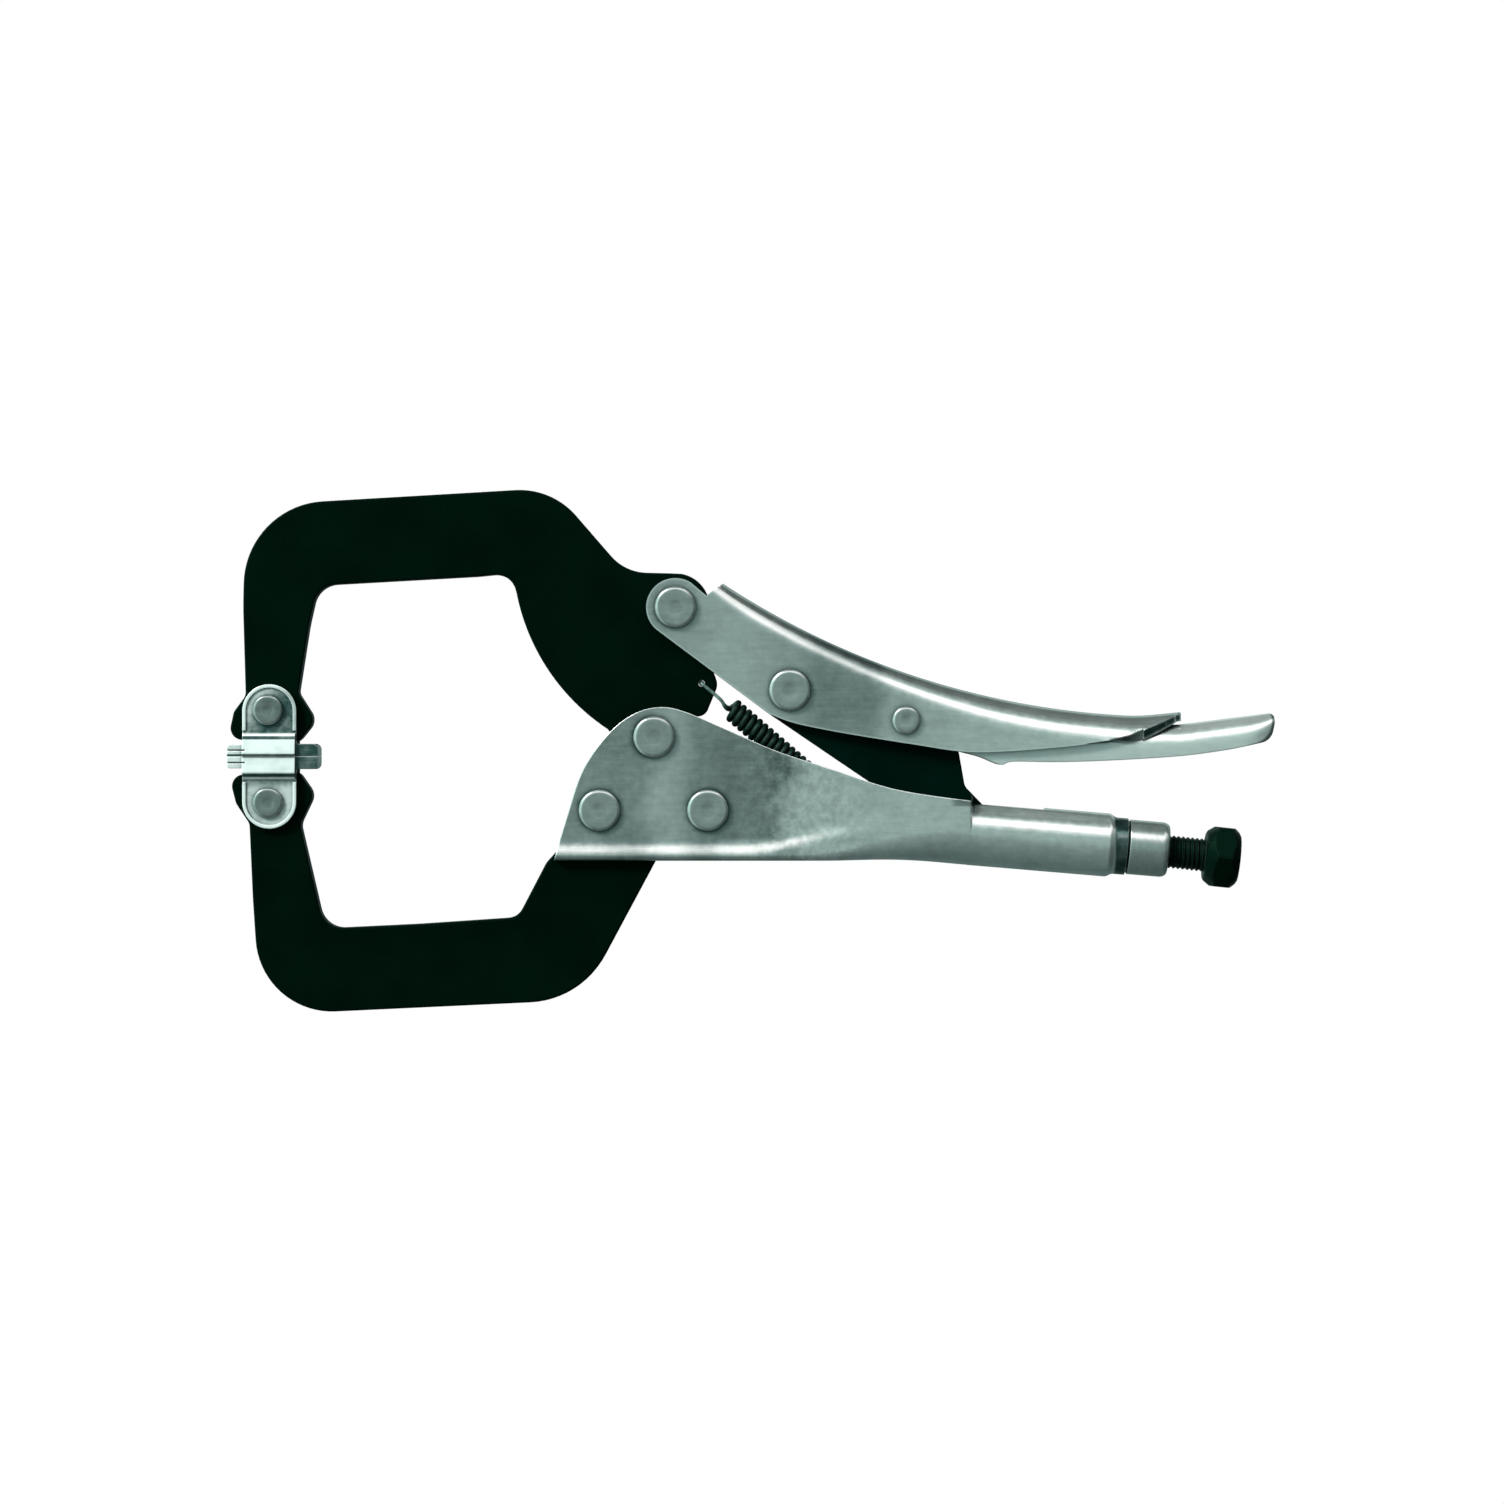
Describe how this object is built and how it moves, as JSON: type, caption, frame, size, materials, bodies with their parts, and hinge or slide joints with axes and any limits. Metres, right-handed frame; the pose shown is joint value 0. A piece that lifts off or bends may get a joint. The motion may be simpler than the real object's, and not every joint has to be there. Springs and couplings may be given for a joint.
{
  "type": "locking c clamp",
  "caption": "Locking C clamp: flat jaw arms with swivel pads, pressed-steel toggle handles, release lever, return spring and adjusting screw.",
  "frame": {"origin": "centre of the fixed (lower) pad's clamping face, under its rivet, in the clamp's middle plane", "axes": "+Z out of the fixed pad's face towards the moving pad, +X along the handles towards the screw, Y along every pivot"},
  "size_m": [0.2806, 0.0184, 0.1398],
  "materials": {
    "plated_steel": "bright nickel-plated pressed steel, lightly brushed and blotchy",
    "rivet_steel": "plated rivet steel, dull",
    "black_oxide": "satin black over steel, with light sheared edges on the arms",
    "spring_wire": "dark oiled spring wire"
  },
  "bodies": {
    "fixed_handle": {"fixed_handle_body": "plated_steel", "threaded_end_nut": "plated_steel", "fixed_jaw_arm": "black_oxide", "fixed_jaw_rivet_front": "rivet_steel", "fixed_jaw_rivet_rear": "rivet_steel", "lower_pad_rivet": "rivet_steel", "main_pivot_rivet": "rivet_steel"},
    "adjusting_screw": {"adjusting_screw": "black_oxide"},
    "moving_jaw": {"moving_jaw_arm": "black_oxide", "upper_pad_rivet": "rivet_steel"},
    "upper_handle": {"upper_handle_lever": "plated_steel", "handle_pivot_rivet": "rivet_steel", "toggle_pivot_rivet": "rivet_steel", "release_pivot_rivet": "rivet_steel"},
    "toggle_link": {"toggle_link": "black_oxide", "toggle_spacer_front": "rivet_steel", "toggle_spacer_back": "rivet_steel"},
    "release_lever": {"release_lever": "plated_steel"},
    "tension_spring": {"tension_spring": "spring_wire"},
    "upper_pad": {"upper_swivel_pad": "plated_steel"},
    "lower_pad": {"lower_swivel_pad": "plated_steel"}
  },
  "joints": [
    {"name": "screw_travel", "type": "slide", "parent": "fixed_handle", "child": "adjusting_screw", "axis": [0.9965, 0, -0.0837], "range_m": [0, 0.0125]},
    {"name": "jaw_pivot", "type": "hinge", "parent": "fixed_handle", "child": "moving_jaw", "pos_m": [0.1033, 0, 0.0052], "axis": [0, 1, 0], "range_deg": [0, 34], "deforming": ["tension_spring"]},
    {"name": "handle_pivot", "type": "hinge", "parent": "moving_jaw", "child": "upper_handle", "pos_m": [0.109, 0, 0.0399], "axis": [0, 1, 0], "range_deg": [-81.61, 0]},
    {"name": "toggle_pivot", "type": "hinge", "parent": "upper_handle", "child": "toggle_link", "pos_m": [0.1396, 0, 0.0177], "axis": [0, 1, 0], "range_deg": [0, 74.59]},
    {"name": "release_pivot", "type": "hinge", "parent": "upper_handle", "child": "release_lever", "pos_m": [0.1707, 0, 0.0096], "axis": [0, 1, 0], "range_deg": [0, 10]},
    {"name": "spring_swing", "type": "hinge", "parent": "fixed_handle", "child": "tension_spring", "pos_m": [0.1554, 0, -0.0142], "axis": [0, 1, 0], "range_deg": [-4.8, 0]},
    {"name": "upper_pad_swivel", "type": "hinge", "parent": "moving_jaw", "child": "upper_pad", "pos_m": [0, 0, 0.0124], "axis": [0, 1, 0], "range_deg": [-6, 0]},
    {"name": "lower_pad_swivel", "type": "hinge", "parent": "fixed_handle", "child": "lower_pad", "pos_m": [0, 0, -0.0124], "axis": [0, 1, 0], "range_deg": [0, 6]}
  ],
  "couplings": [
    {"joint": "handle_pivot", "follows": "jaw_pivot", "ratio": -2.4003},
    {"joint": "toggle_pivot", "follows": "jaw_pivot", "ratio": 2.1938},
    {"joint": "spring_swing", "follows": "jaw_pivot", "ratio": -0.14118},
    {"joint": "upper_pad_swivel", "follows": "jaw_pivot", "ratio": -0.17647},
    {"joint": "lower_pad_swivel", "follows": "jaw_pivot", "ratio": 0.17647}
  ]
}
